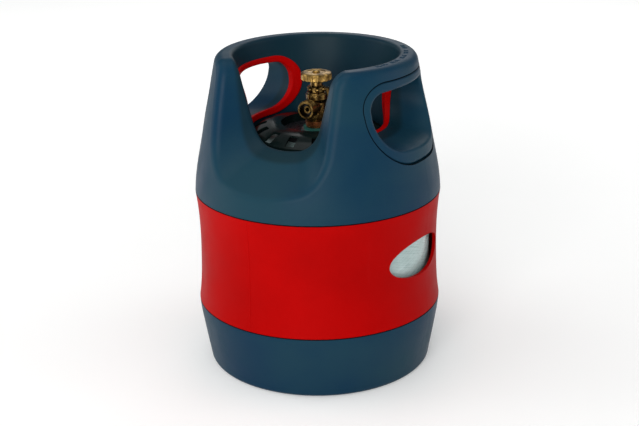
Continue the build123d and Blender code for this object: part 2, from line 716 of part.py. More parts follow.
def make_handwheel():
    """Domed wheel with a scalloped skirt, hollow below round its hub."""
    skirt = WHEEL_RADIUS - WHEEL_SKIRT
    web_z = WHEEL_LOW_Z + WHEEL_WEB_Z
    wheel = turned_polygon(
        (0, WHEEL_LOW_Z),
        (HUB_RADIUS, WHEEL_LOW_Z),
        (HUB_RADIUS, web_z),
        (skirt, web_z),
        (skirt, WHEEL_LOW_Z + 0.6),
        (WHEEL_RADIUS - 1.2, WHEEL_LOW_Z),
        (WHEEL_RADIUS, WHEEL_LOW_Z + 1.2),
        (WHEEL_RADIUS, WHEEL_HIGH_Z - WHEEL_SHOULDER),
        (WHEEL_RADIUS - 0.8, WHEEL_HIGH_Z - 0.8),
        (WHEEL_RADIUS - 3.0, WHEEL_HIGH_Z),
        (WHEEL_RADIUS - 7.0, WHEEL_HIGH_Z + 0.3),
        (WHEEL_RADIUS - 8.0, HUB_TOP_Z),
        (0, HUB_TOP_Z),
    )
    scallop_x = WHEEL_RADIUS + SCALLOP_RADIUS - SCALLOP_DEPTH
    scallop = rod(SCALLOP_RADIUS, WHEEL_LOW_Z - PAST, WHEEL_HIGH_Z - WHEEL_SHOULDER, x=scallop_x)
    wheel -= [Rot(0, 0, index * 360 / WHEEL_SCALLOPS) * scallop for index in range(WHEEL_SCALLOPS)]
    return wheel - drive_square(WHEEL_LOW_Z - PAST, HUB_TOP_Z + PAST)


def make_handwheel_nut():
    nut = turned_polygon(
        (0, HUB_TOP_Z),
        (NUT_RADIUS, HUB_TOP_Z),
        (NUT_RADIUS, HUB_TOP_Z + NUT_CONE_Z),
        (NUT_RADIUS - 1.4, HUB_TOP_Z + 2 * NUT_CONE_Z),
        (0, HUB_TOP_Z + NUT_HEIGHT),
    )
    slot = block(3 * NUT_RADIUS, NUT_SLOT, HUB_TOP_Z + NUT_HEIGHT - NUT_SLOT, HEIGHT)
    return nut - slot - rod(STUD_RADIUS, HUB_TOP_Z - PAST, STUD_TOP_Z)


def make_lower_spindle():
    """Seat carrier: slotted above for the spindle's blade, cupped below for the seat disc."""
    carrier = rod(CARRIER_RADIUS, CARRIER_LOW_Z, CARRIER_TOP_Z)
    carrier -= rod(SEAT_DISC_RADIUS, CARRIER_LOW_Z - PAST, SEAT_DISC_TOP_Z)
    return carrier - block(3 * CARRIER_RADIUS, BLADE_THICKNESS + CARRIER_SLOT_PLAY, CARRIER_SLOT_Z, HEIGHT)


def make_relief_poppet():
    head = rod(RELIEF_BORE - FIT, POPPET_LOW_Z, POPPET_TOP_Z, y=RELIEF_Y)
    stem = rod(POPPET_STEM, POPPET_TOP_Z, POPPET_STEM_TOP_Z, y=RELIEF_Y)
    pocket = rod(POPPET_SEAL_RADIUS, POPPET_LOW_Z - PAST, POPPET_LOW_Z + POPPET_SEAL_DEPTH, y=RELIEF_Y)
    return head + stem - pocket


def make_relief_seal():
    return rod(POPPET_SEAL_RADIUS, POPPET_SEAL_LOW_Z, POPPET_LOW_Z + POPPET_SEAL_DEPTH, y=RELIEF_Y)


def make_relief_spring():
    turns = Helix(SPRING_PITCH, RELIEF_CAP_LOW_Z - POPPET_TOP_Z - 2 * SPRING_WIRE, SPRING_RADIUS)
    section = Plane(turns @ 0, z_dir=turns % 0) * Circle(SPRING_WIRE)
    return Pos(0, RELIEF_Y, POPPET_TOP_Z + SPRING_WIRE) * sweep(section, path=turns, is_frenet=True)


def make_relief_cap():
    """Cap screwed into the turret, bored clear of the poppet's stem, with a vent slot across its head."""
    top_z = RELIEF_TOP_Z + RELIEF_HEAD
    cap = rod(RELIEF_BORE, RELIEF_CAP_LOW_Z, RELIEF_TOP_Z, y=RELIEF_Y)
    head = rod(RELIEF_RADIUS - OUTLET_CHAMFER, RELIEF_TOP_Z, top_z, y=RELIEF_Y)
    head = chamfer(head.edges().group_by(Axis.Z)[-1], OUTLET_CHAMFER)
    guide = rod(POPPET_STEM + 0.4, RELIEF_CAP_LOW_Z - PAST, HEIGHT, y=RELIEF_Y)
    vent = block(3 * RELIEF_RADIUS, RELIEF_VENT_WIDTH, top_z - RELIEF_VENT_DEPTH, HEIGHT, y=RELIEF_Y)
    return cap + head - guide - vent


# ---- Write one file per piece ----
def write(name, part):
    solids = part if isinstance(part, list) else part.solids()
    shape = solids[0] if len(solids) == 1 else Compound(children=[solid for solid in solids])
    export_step(shape, f"parts/{name}.step")


def build():
    collar = rounded_collar()
    insert = make_grip_insert(collar)
    ring = make_grip_ring()
    pieces = {
        "lower_casing": make_lower_casing(),
        "middle_band": make_middle_band(),
        "upper_casing": make_upper_casing(collar),
        "grip_insert_right": insert,
        "grip_insert_left": mirror(insert, Plane.YZ),
        "grip_ring_right": ring,
        "grip_ring_left": Rot(0, 0, 180) * ring,
        "floor_disc": make_floor_disc(),
        "shoulder_pad": make_shoulder_pad(),
        "composite_overwrap": make_overwrap(),
        "liner": make_liner(),
        "neck_boss": make_neck_boss(),
        "boss_seal": boss_seal(),
        "boss_washer": tube(NECK_BORE, BOSS_WASHER_RADIUS, BOSS_TOP_Z, WASHER_TOP_Z),
        "neck_gasket": tube(NECK_BORE, GASKET_RADIUS, WASHER_TOP_Z, GASKET_TOP_Z),
        "valve_body": make_valve_body(),
        "outlet_seal": make_outlet_seal(),
        "gland_nut": make_gland_nut(),
        "stem_seals": make_stem_seals(),
        "upper_spindle": make_upper_spindle(),
        "handwheel": make_handwheel(),
        "handwheel_nut": make_handwheel_nut(),
        "lower_spindle": make_lower_spindle(),
        "seat_disc": rod(SEAT_DISC_RADIUS, SEAT_DISC_LOW_Z, SEAT_DISC_TOP_Z),
        "relief_poppet": make_relief_poppet(),
        "relief_seal": make_relief_seal(),
        "relief_spring": make_relief_spring(),
        "relief_cap": make_relief_cap(),
    }
    for name, part in pieces.items():
        write(name, part)


os.makedirs("parts", exist_ok=True)
build()
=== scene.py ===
import json
import math

import bmesh
import bpy
from mathutils import Matrix, Vector
from mathutils.bvhtree import BVHTree


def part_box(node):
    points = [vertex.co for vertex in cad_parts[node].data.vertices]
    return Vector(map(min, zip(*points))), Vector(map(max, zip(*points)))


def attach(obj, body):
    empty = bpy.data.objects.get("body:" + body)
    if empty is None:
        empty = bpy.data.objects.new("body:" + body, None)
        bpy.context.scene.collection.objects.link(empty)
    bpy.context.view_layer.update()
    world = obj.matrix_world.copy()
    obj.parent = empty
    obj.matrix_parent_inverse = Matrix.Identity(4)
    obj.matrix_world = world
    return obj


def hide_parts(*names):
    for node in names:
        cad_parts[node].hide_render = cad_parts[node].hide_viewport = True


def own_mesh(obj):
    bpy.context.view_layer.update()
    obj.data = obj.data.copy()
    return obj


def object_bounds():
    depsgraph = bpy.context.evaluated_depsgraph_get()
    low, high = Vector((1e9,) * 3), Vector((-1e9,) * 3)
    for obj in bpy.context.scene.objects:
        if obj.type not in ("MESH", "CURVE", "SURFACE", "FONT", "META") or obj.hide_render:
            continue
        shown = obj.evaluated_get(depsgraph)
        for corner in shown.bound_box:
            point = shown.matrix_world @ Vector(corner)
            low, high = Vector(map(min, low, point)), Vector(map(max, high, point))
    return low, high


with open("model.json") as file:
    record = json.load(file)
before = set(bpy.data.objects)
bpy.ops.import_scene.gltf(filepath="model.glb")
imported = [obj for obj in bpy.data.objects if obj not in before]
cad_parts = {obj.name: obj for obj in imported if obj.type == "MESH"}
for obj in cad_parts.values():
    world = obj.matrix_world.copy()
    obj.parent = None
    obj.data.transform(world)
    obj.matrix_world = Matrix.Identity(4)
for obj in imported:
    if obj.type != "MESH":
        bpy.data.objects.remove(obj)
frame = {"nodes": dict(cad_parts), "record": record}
cad_low, cad_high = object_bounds()

MM = 0.001

# ---- Camera: distance from the object's axis, height above the floor, and where it points ----
CAMERA_AZIMUTH = 28.5
CAMERA_DISTANCE = 1.534
CAMERA_HEIGHT = 0.7408
CAMERA_PITCH = 19.91
CAMERA_ROLL = -0.83
CAMERA_YAW = -0.057
CAMERA_LENS = 73.15
SENSOR_WIDTH = 36.0

# ---- Colours, linear RGB ----
CASING_DARK = (0.0010, 0.025, 0.057, 1)
CASING_LIGHT = (0.0080, 0.040, 0.060, 1)
RED_DARK = (0.32, 0.0002, 0.0002, 1)
RED_LIGHT = (0.40, 0.0004, 0.0004, 1)
DISC_DARK = (0.0015, 0.004, 0.004, 1)
DISC_LIGHT = (0.006, 0.014, 0.013, 1)
BRASS_DARK = (0.09, 0.052, 0.014, 1)
BRASS_LIGHT = (0.50, 0.31, 0.088, 1)
# Painted shade: darker copy of the brass, for the valve parts in shade inside the collar
SHADED_BRASS_DARK = (0.026, 0.016, 0.005, 1)
SHADED_BRASS_LIGHT = (0.27, 0.165, 0.050, 1)
COPPER_DARK = (0.22, 0.08, 0.03, 1)
COPPER_LIGHT = (0.45, 0.20, 0.08, 1)
STEEL_DARK = (0.30, 0.31, 0.31, 1)
STEEL_LIGHT = (0.62, 0.63, 0.62, 1)
RUBBER_DARK = (0.006, 0.006, 0.008, 1)
RUBBER_LIGHT = (0.018, 0.018, 0.020, 1)
# Painted shadow: colours of the dark beads that stand for the shade in the joints
SHADOW_BEAD_DARK = (0.0002, 0.0010, 0.0016, 1)
SHADOW_BEAD_LIGHT = (0.0006, 0.0024, 0.0036, 1)
# Painted shade: the gasket's teal is set darker than its own colour, for the shade it sits in under the
# valve
GASKET_DARK = (0.010, 0.08, 0.065, 1)
GASKET_LIGHT = (0.018, 0.13, 0.105, 1)
GLASS_FIBRE_DARK = (0.27, 0.38, 0.37, 1)
GLASS_FIBRE_LIGHT = (0.45, 0.58, 0.57, 1)
LINER_DARK = (0.55, 0.55, 0.50, 1)
LINER_LIGHT = (0.70, 0.70, 0.66, 1)
FLOOR_DARK = (0.80, 0.80, 0.79, 1)
FLOOR_LIGHT = (0.86, 0.86, 0.85, 1)

# ---- Textures: noise scales in waves per metre, bump depths in metres ----
NOISE_BAND = (0.3, 0.7)
DRIFT_SCALE = 9
SPECKLE_SCALE = 1400
SPECKLE_BAND = (0.35, 0.65)
SPECKLE_AMOUNT = 0.18
SCUFF_SCALE = 60
SCUFF_STRETCH = (1.0, 1.0, 0.12)
SCUFF_BAND = (0.62, 0.80)
SCUFF_TINT = 0.16
SCUFF_ROUGHNESS = 0.08
RUBBED_SHARE = 0.9
RUBBED_LIFT = 0.02
GLOSS_SCALE = 35
GLOSS_LESS = 0.05
GLOSS_MORE = 0.06
FLOW_SCALE = 14
FLOW_DEPTH = 0.25 * MM
GRAIN_SCALE = 1500
GRAIN_DEPTH = 0.05 * MM
FINE_GRAIN_DEPTH = 0.02 * MM
TARNISH_SCALE = 160
TARNISH_BAND = (0.35, 0.65)
TARNISH_ROUGHNESS = 0.18
STAIN_SCALE = 700
STAIN_AMOUNT = 0.2
TOOL_MARK_STRETCH = (250, 250, 6000)
TOOL_MARK_DEPTH = 0.03 * MM
DENT_SCALE = 420
DENT_DEPTH = 0.08 * MM
RUBBER_TONE_SCALE = 60
RUBBER_GLOSS_SCALE = 300
RUBBER_GLOSS_SPREAD = 0.1
RUBBER_GRAIN_SCALE = 1800
STRAND_STRETCH = (1500, 18, 1)
STRAND_BAND = (0.75, 1.25)
STRAND_GLOSS_BAND = (0.8, 1.2)
STRAND_ROUGHNESS = (0.22, 0.40)
STRAND_DEPTH = 0.12 * MM
RESIN_CLOUD_SCALE = 45
RESIN_CLOUD_AMOUNT = 0.25
PAPER_TONE_SCALE = 3
PAPER_GLOSS_SCALE = 40
PAPER_ROUGHNESS = (0.75, 0.9)
PAPER_GRAIN_SCALE = 300
PAPER_GRAIN_DEPTH = 0.05 * MM

# ---- Painted light and shade on the blue-grey plastic: a painted highlight on the apron, painted shade inside the collar ----
# Painted highlight: the tone rises towards this point on the apron, within this reach
APRON_CENTRE = (0, -112 * MM, 262 * MM)
APRON_REACH = 95 * MM
APRON_HIGHLIGHT_RANGE = (-0.2, 0.9)
# Painted shade: colour and radii of the darkening on the collar's inner wall, near the axis
WALL_SHADE_COLOUR = (0.003, 0.012, 0.012, 1)
WALL_SHADE_INNER = 101 * MM
WALL_SHADE_OUTER = 106 * MM
WALL_SHADE_AMOUNT = 0.55

# ---- Vessel and its winding ----
VESSEL_RADIUS = 139.5 * MM
DOME_HEIGHT = 80 * MM
VESSEL_TOP = 294 * MM
NECK_HOLE_RADIUS = 17.5 * MM
OVERWRAP_THICKNESS = 4.5 * MM
POLE_ANGLE = math.radians(89.5)
WINDING_STEPS = 480
OUTER_STEPS = 54
INNER_STEPS = 12
WINDING_SLANT = 0.35
ROVING_WIDTH = 9 * MM
ROVING_DEPTH = 0.35 * MM

# ---- Threads ----
OUTLET_RADIUS = 10.9 * MM
OUTLET_LAND = 12 * MM
OUTLET_PITCH = 1.81 * MM
NECK_RADIUS = 13.4 * MM
NECK_PITCH = 1.5 * MM
NECK_THREAD_LENGTH = 8 * MM
THREAD_CREST = 0.35 * MM
THREAD_FOOT_SHARE = 0.46
THREAD_TOP_SHARE = 0.10
THREAD_LEAST_FADE = 0.02
OUTLET_THREAD_INNER_GAP = 1.2 * MM
OUTLET_THREAD_OUTER_GAP = 1.4 * MM
NECK_THREAD_GAP = 0.6 * MM
SMOOTH_ANGLE = 35

# ---- Relief spring ----
COIL_WIRE = 0.45 * MM
COIL_PITCH = 2.3 * MM
COIL_STEPS = 28
COIL_SIDES = 10

# ---- Marks on the rim, at angles from -Y towards +X ----
FLAT_TOLERANCE = 0.01 * MM
RIM_MARK_GROUPS = (72, 86, 100, 114, 128)
RIM_MARK_WIDTHS = (1.5 * MM, 3.4 * MM, 1.5 * MM, 3.4 * MM)
RIM_MARK_STEP = 2.6
RIM_MARK_DEPTH = 5.5 * MM
RIM_MARK_PROUD = 0.5 * MM
RIM_MARK_SUNK = 0.3 * MM
RIM_MARK_BEVEL = 0.3 * MM

# ---- Painted shadow: dark beads in the joints, round the grip panels and between the casing pieces, standing for the shade in the narrow gaps ----
PANEL_HALF = 79.75 * MM
PANEL_LOW = 276.25 * MM
PANEL_HIGH = 377.05 * MM
PANEL_LOW_ROUND = 60 * MM
PANEL_HIGH_ROUND = 33 * MM
CORNER_STEPS = 24
SIDE_STEPS = 12
SLOPE_SPAN = 2 * MM
BACK = 180
BEAD_HALF_WIDTH = 0.50 * MM
BEAD_PROUD = 0.10 * MM
BEAD_DEPTH = 0.7 * MM
SEAM_BEAD_STEPS = 180

# ---- Seams and the mould line on the band ----
LOWER_SEAM_Z = 81.5 * MM
UPPER_SEAM_Z = 223.5 * MM
SEAM_MARGIN = 2.5 * MM
PARTING_ANGLE = -5.0
PARTING_STEPS = 60
PARTING_WIDTH = 0.45 * MM
PARTING_PROUD = 0.22 * MM
PARTING_TOP_SHARE = 0.3
PARTING_END_FADE = 0.05

# ---- Nodes with painted shade: a darker copy of the brass, for the shade inside the collar ----
SHADED_BRASS_NODES = ("valve_body", "gland_nut", "relief_cap")

# ---- Stage: each light is a name, azimuth, distance, height, size and power ----
FLOOR_HALF = 12.0
FLOOR_GLOW_NEAR = 0.24
FLOOR_GLOW_FAR = 0.75
FLOOR_GLOW_REACH = 2.2
WORLD_COLOUR = (0.95, 0.97, 1.0, 1)
WORLD_STRENGTH = 0.27
LIGHTS = (
    ("overhead", 0, 0.35, 1.9, 1.5, 11),
    ("front", 16, 2.4, 1.0, 1.4, 38),
    ("left", -70, 1.9, 0.9, 1.3, 12),
    ("right", 120, 1.9, 0.9, 1.3, 8),
    ("back", 200, 2.0, 1.3, 1.2, 6),
)


# ---- Material helper ----
class Surface:
    """One material's node tree, with short calls for the nodes that every material here uses."""

    def __init__(self, name):
        self.material = bpy.data.materials.new(name)
        self.material.use_nodes = True
        self.tree = self.material.node_tree
        self.shader = self.tree.nodes["Principled BSDF"]
        self.place = self.add("ShaderNodeTexCoord").outputs["Object"]

    def add(self, kind, inputs=None, **settings):
        node = self.tree.nodes.new(kind)
        for key, value in settings.items():
            setattr(node, key, value)
        for key, value in (inputs or {}).items():
            self.feed(node.inputs[key], value)
        return node

    def feed(self, socket, value):
        if isinstance(value, bpy.types.NodeSocket):
            self.tree.links.new(value, socket)
        else:
            socket.default_value = value

    def noise(self, scale, detail=2.0, roughness=0.5, place=None):
        inputs = {"Vector": place or self.place, "Scale": scale}
        inputs.update(Detail=detail, Roughness=roughness)
        return self.add("ShaderNodeTexNoise", inputs).outputs["Fac"]

    def stretched(self, scale, place=None):
        """Coordinates, the object's own if none are given, with each axis multiplied by its own factor."""
        inputs = {"Vector": place or self.place, "Scale": scale}
        return self.add("ShaderNodeMapping", inputs).outputs["Vector"]

    def distance(self, first, second):
        inputs = {0: first, 1: second}
        return self.add("ShaderNodeVectorMath", inputs, operation="DISTANCE").outputs["Value"]

    def remap(self, value, low, high, to_low=0.0, to_high=1.0):
        inputs = {"Value": value, "From Min": low, "From Max": high, "To Min": to_low, "To Max": to_high}
        return self.add("ShaderNodeMapRange", inputs).outputs["Result"]

    def calculate(self, operation, first, second=0.0):
        return self.add("ShaderNodeMath", {0: first, 1: second}, operation=operation).outputs["Value"]

    def mix(self, factor, first, second):
        inputs = {"Factor": factor, "A": first, "B": second}
        node = self.add("ShaderNodeMix", data_type="RGBA")
        for key, value in inputs.items():
            socket = next(s for s in node.inputs if s.name == key and s.type != "VECTOR" and s.enabled)
            self.feed(socket, value)
        return next(s for s in node.outputs if s.enabled)

    def height(self, value, distance, normal=None):
        """Bump from a height value between 0 and 1, distance metres deep, over an earlier bump."""
        node = self.add("ShaderNodeBump", {"Height": value, "Distance": distance, "Strength": 1.0})
        if normal is not None:
            self.feed(node.inputs["Normal"], normal)
        return node.outputs["Normal"]

    def finish(self, colour, roughness, normal, **constants):
        self.feed(self.shader.inputs["Base Color"], colour)
        self.feed(self.shader.inputs["Roughness"], roughness)
        self.feed(self.shader.inputs["Normal"], normal)
        for key, value in constants.items():
            self.shader.inputs[key.replace("_", " ").title().replace("Ior", "IOR")].default_value = value
        return self.material


def moulded_plastic(name, dark, light, rough, ior, grain=GRAIN_DEPTH, with_painted_light=False):
    """Satin moulded plastic: drift of colour, fine speckle, faint scuffs and a moulded grain.

    With painted light the plastic is paler on the apron, a painted highlight, and darker on the collar's
    inner wall, painted shade."""
    surface = Surface(name)
    drift = surface.remap(surface.noise(DRIFT_SCALE, 3), *NOISE_BAND)
    specks = surface.noise(SPECKLE_SCALE, 2)
    speckle = surface.remap(specks, *SPECKLE_BAND, -SPECKLE_AMOUNT, SPECKLE_AMOUNT)
    tone = surface.calculate("ADD", drift, speckle)
    # Painted highlight: paler towards the apron, for the light it catches from above.
    if with_painted_light:
        from_apron = surface.distance(surface.place, APRON_CENTRE)
        apron_highlight = surface.remap(from_apron, APRON_REACH, 0.0, *APRON_HIGHLIGHT_RANGE)
        tone = surface.calculate("ADD", tone, apron_highlight)
    colour = surface.mix(surface.remap(tone, 0.0, 1.0), dark, light)
    # Painted shade: darker within a radius of the axis, on the collar's inner wall.
    if with_painted_light:
        from_axis = surface.distance(surface.stretched((1, 1, 0)), (0, 0, 0))
        wall_shade = surface.remap(from_axis, WALL_SHADE_INNER, WALL_SHADE_OUTER, WALL_SHADE_AMOUNT, 0.0)
        colour = surface.mix(wall_shade, colour, WALL_SHADE_COLOUR)
    scratches = surface.noise(SCUFF_SCALE, 6, 0.7, surface.stretched(SCUFF_STRETCH))
    scuffs = surface.remap(scratches, *SCUFF_BAND)
    rubbed = tuple(RUBBED_SHARE * channel + RUBBED_LIFT for channel in light[:3]) + (1,)
    colour = surface.mix(surface.calculate("MULTIPLY", scuffs, SCUFF_TINT), colour, rubbed)
    gloss = surface.noise(GLOSS_SCALE, 4)
    roughness = surface.remap(gloss, *NOISE_BAND, rough - GLOSS_LESS, rough + GLOSS_MORE)
    scuffed = surface.calculate("MULTIPLY", scuffs, SCUFF_ROUGHNESS)
    roughness = surface.calculate("ADD", roughness, scuffed)
    flow = surface.height(surface.noise(FLOW_SCALE, 2), FLOW_DEPTH)
    normal = surface.height(surface.noise(GRAIN_SCALE, 3, 0.6), grain, flow)
    return surface.finish(colour, roughness, normal, ior=ior)


def metal(name, dark, light, rough):
    """Cast and turned metal: tarnish in patches, fine tool marks and a lightly dented surface."""
    surface = Surface(name)
    tarnish = surface.remap(surface.noise(TARNISH_SCALE, 5, 0.6), *TARNISH_BAND)
    stain = surface.remap(surface.noise(STAIN_SCALE, 3), *NOISE_BAND, -STAIN_AMOUNT, STAIN_AMOUNT)
    colour = surface.mix(surface.calculate("ADD", tarnish, stain), dark, light)
    roughness = surface.remap(tarnish, 0.0, 1.0, rough + TARNISH_ROUGHNESS, rough)
    marks = surface.noise(1.0, 2, 0.5, surface.stretched(TOOL_MARK_STRETCH))
    dents = surface.height(surface.noise(DENT_SCALE, 3), DENT_DEPTH)
    normal = surface.height(marks, TOOL_MARK_DEPTH, dents)
    return surface.finish(colour, roughness, normal, metallic=1.0)


def rubber(name, dark, light, rough=0.7, specular=0.3):
    """Rubber or gasket sheet: cloudy tone, uneven gloss and a fine grain."""
    surface = Surface(name)
    colour = surface.mix(surface.remap(surface.noise(RUBBER_TONE_SCALE, 4), *NOISE_BAND), dark, light)
    gloss = surface.noise(RUBBER_GLOSS_SCALE, 3)
    spread = (rough - RUBBER_GLOSS_SPREAD, rough + RUBBER_GLOSS_SPREAD)
    roughness = surface.remap(gloss, *NOISE_BAND, *spread)
    normal = surface.height(surface.noise(RUBBER_GRAIN_SCALE, 2), GRAIN_DEPTH)
    return surface.finish(colour, roughness, normal, specular_ior_level=specular)


def glass_fibre(name):
    """Resin-bound roving: fine strands along two crossing helices, with streaks in the resin."""
    surface = Surface(name)
    parts = surface.add("ShaderNodeSeparateXYZ", {"Vector": surface.place}).outputs
    turn = surface.calculate("ARCTAN2", parts["Y"], parts["X"])
    around = surface.calculate("MULTIPLY", turn, VESSEL_RADIUS)
    strands = []
    for slant in (WINDING_SLANT, -WINDING_SLANT):
        across = surface.calculate("ADD", parts["Z"], surface.calculate("MULTIPLY", around, slant))
        along = surface.calculate("SUBTRACT", around, surface.calculate("MULTIPLY", parts["Z"], slant))
        place = surface.add("ShaderNodeCombineXYZ", {"X": across, "Y": along}).outputs["Vector"]
        strands.append(surface.noise(1.0, 3, 0.6, surface.stretched(STRAND_STRETCH, place)))
    weave = surface.calculate("ADD", *strands)
    resin = surface.noise(RESIN_CLOUD_SCALE, 4)
    cloud = surface.remap(resin, *NOISE_BAND, -RESIN_CLOUD_AMOUNT, RESIN_CLOUD_AMOUNT)
    streaks = surface.calculate("ADD", surface.remap(weave, *STRAND_BAND), cloud)
    colour = surface.mix(streaks, GLASS_FIBRE_DARK, GLASS_FIBRE_LIGHT)
    roughness = surface.remap(weave, *STRAND_GLOSS_BAND, *STRAND_ROUGHNESS)
    normal = surface.height(weave, STRAND_DEPTH)
    return surface.finish(colour, roughness, normal, coat_weight=0.4, coat_roughness=0.15)


# ---- Geometry helpers ----
def new_piece(name, work, body, material):
    """Smooth object from a bmesh, riding on a CAD body and material."""
    bmesh.ops.recalc_face_normals(work, faces=work.faces)
    mesh = bpy.data.meshes.new(name)
    work.to_mesh(mesh)
    work.free()
    piece = bpy.data.objects.new(name, mesh)
    bpy.context.scene.collection.objects.link(piece)
    mesh.polygons.foreach_set("use_smooth", [True] * len(mesh.polygons))
    mesh.set_sharp_from_angle(angle=math.radians(SMOOTH_ANGLE))
    mesh.materials.append(material)
    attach(piece, body)
    return piece


def bridge(work, ring, following):
    """Band of four-sided faces between two closed rings of points."""
    count = len(ring)
    for index in range(count):
        after = (index + 1) % count
        work.faces.new((ring[index], ring[after], following[after], following[index]))


def lathe(outline, steps, relief=None):
    """Closed surface of revolution about Z of a closed outline of (radius, height).

    relief(index, angle, height) gives how far outwards a point of the outline moves."""
    work = bmesh.new()
    rings = []
    for index, (radius, height) in enumerate(outline):
        ring = []
        for step in range(steps):
            angle = 2 * math.pi * step / steps
            out = radius + (relief(index, angle, height) if relief else 0.0)
            ring.append(work.verts.new((out * math.cos(angle), out * math.sin(angle), height)))
        rings.append(ring)
    for ring, following in zip(rings, rings[1:] + rings[:1]):
        bridge(work, ring, following)
    return work


def swept(path, sections):
    """Closed strip: one section of points for each place on the path, capped at both ends."""
    work = bmesh.new()
    rings = []
    for place, section in zip(path, sections):
        rings.append([work.verts.new(place + offset) for offset in section])
    for ring, following in zip(rings, rings[1:]):
        bridge(work, ring, following)
    work.faces.new(rings[0])
    work.faces.new(list(reversed(rings[-1])))
    return work


def thread(radius, crest, pitch, start, end, axis_point, axis, steps_per_turn=48):
    """Helical ridge round an axis, from start to end along it, that runs out at both ends."""
    axis = Vector(axis)
    side = axis.orthogonal().normalized()
    other = axis.cross(side)
    turns = (end - start) / pitch
    steps = int(turns * steps_per_turn)
    path, sections = [], []
    for step in range(steps + 1):
        share = step / steps
        angle = 2 * math.pi * turns * share
        outward = side * math.cos(angle) + other * math.sin(angle)
        fade = min(1.0, 2 * min(share, 1 - share) * turns + THREAD_LEAST_FADE)
        path.append(Vector(axis_point) + axis * (start + (end - start) * share) + outward * radius)
        sections.append([
            -outward * crest - axis * pitch * THREAD_FOOT_SHARE,
            outward * crest * fade - axis * pitch * THREAD_TOP_SHARE,
            outward * crest * fade + axis * pitch * THREAD_TOP_SHARE,
            -outward * crest + axis * pitch * THREAD_FOOT_SHARE,
        ])
    return swept(path, sections)


def heading(degrees):
    """Level unit vector at an angle from -Y towards +X."""
    turn = math.radians(degrees)
    return Vector((math.sin(turn), -math.cos(turn), 0))


def surface_of(node):
    """Search tree of a CAD node's mesh, for finding its surface."""
    mesh = frame["nodes"][node].data
    return BVHTree.FromPolygons([v.co for v in mesh.vertices], [p.vertices for p in mesh.polygons])


def surface_radius(tree, angle, height):
    """Radius of a tree's outer surface at an angle in degrees from -Y towards +X, and at a height.

    Where the surface isn't met before the axis, the radius is 0."""
    outward = heading(angle)
    reach = 2 * cad_high.x
    start = outward * reach
    start.z = height
    hit = tree.ray_cast(start, -outward, reach)[0]
    return math.hypot(hit.x, hit.y) if hit else 0.0


# ---- Pieces that stand for a CAD node ----
def overwrap_outline(inset, steps):
    """Half of the capsule's outline from the neck hole down to the lowest point, moved inwards."""
    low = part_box("composite_overwrap")[0]
    radius = VESSEL_RADIUS - inset
    dome = DOME_HEIGHT - inset
    high_centre = VESSEL_TOP - DOME_HEIGHT
    low_centre = low.z + DOME_HEIGHT
    neck = math.asin(NECK_HOLE_RADIUS / radius)
    points = []
    for step in range(steps + 1):
        angle = neck + (math.pi / 2 - neck) * step / steps
        points.append((radius * math.sin(angle), high_centre + dome * math.cos(angle)))
    for step in range(1, steps):
        points.append((radius, high_centre + (low_centre - high_centre) * step / steps))
    for step in range(steps + 1):
        angle = POLE_ANGLE * step / steps
        points.append((radius * math.cos(angle), low_centre - dome * math.sin(angle)))
    return points


def make_overwrap(material):
    """Wound vessel whose surface shows the crossing rovings."""
    outer = overwrap_outline(0.0, OUTER_STEPS)
    inner = overwrap_outline(OVERWRAP_THICKNESS, INNER_STEPS)
    rovings = round(2 * math.pi * VESSEL_RADIUS * WINDING_SLANT / ROVING_WIDTH)

    def relief(index, angle, height):
        if index == 0 or index >= len(outer):
            return 0.0
        along = height / ROVING_WIDTH
        around = rovings * angle / (2 * math.pi)
        first = abs(math.sin(math.pi * (along + around)))
        second = abs(math.sin(math.pi * (along - around)))
        return -ROVING_DEPTH * (1 - max(first, second))

    work = lathe(outer + list(reversed(inner)), WINDING_STEPS, relief)
    piece = new_piece("wound_overwrap", work, "cylinder", material)
    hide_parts("composite_overwrap")


def make_relief_coil(material):
    """Relief spring under its cap: a fixed helix of wire that fills the CAD spring's box."""
    low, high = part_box("relief_spring")
    centre = (low + high) / 2
    radius = (high.x - low.x) / 2 - COIL_WIRE
    rise = high.z - low.z - 2 * COIL_WIRE
    steps = int(rise / COIL_PITCH * COIL_STEPS)
    path, sections = [], []
    for step in range(steps + 1):
        angle = 2 * math.pi * step / COIL_STEPS
        outward = Vector((math.cos(angle), math.sin(angle), 0))
        along = Vector((-outward.y * radius, outward.x * radius, COIL_PITCH / (2 * math.pi))).normalized()
        upward = along.cross(outward).normalized()
        height = low.z + COIL_WIRE + rise * step / steps
        path.append(Vector((centre.x, centre.y, height)) + outward * radius)
        ring = []
        for side in range(COIL_SIDES):
            turn = 2 * math.pi * side / COIL_SIDES
            ring.append((outward * math.cos(turn) + upward * math.sin(turn)) * COIL_WIRE)
        sections.append(ring)
    piece = new_piece("relief_coil", swept(path, sections), "cylinder", material)
    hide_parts("relief_spring")
    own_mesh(piece)


# ---- Extra pieces, too fine for the CAD model ----
def make_outlet_thread(material):
    """Left-hand thread on the outlet's land."""
    low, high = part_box("outlet_seal")
    axis_point = Vector((0, 0, (low.z + high.z) / 2))
    face = -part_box("valve_body")[0].y
    start = face - OUTLET_LAND + OUTLET_THREAD_INNER_GAP
    end = face - OUTLET_THREAD_OUTER_GAP
    work = thread(OUTLET_RADIUS, THREAD_CREST, OUTLET_PITCH, start, end, axis_point, (0, -1, 0))
    new_piece("outlet_thread", work, "cylinder", material)


def make_neck_thread(material):
    """Thread that shows between the gasket and the valve body."""
    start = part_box("neck_gasket")[1].z + NECK_THREAD_GAP
    end = start + NECK_THREAD_LENGTH
    work = thread(NECK_RADIUS, THREAD_CREST, NECK_PITCH, start, end, (0, 0, 0), (0, 0, 1))
    new_piece("neck_thread", work, "cylinder", material)


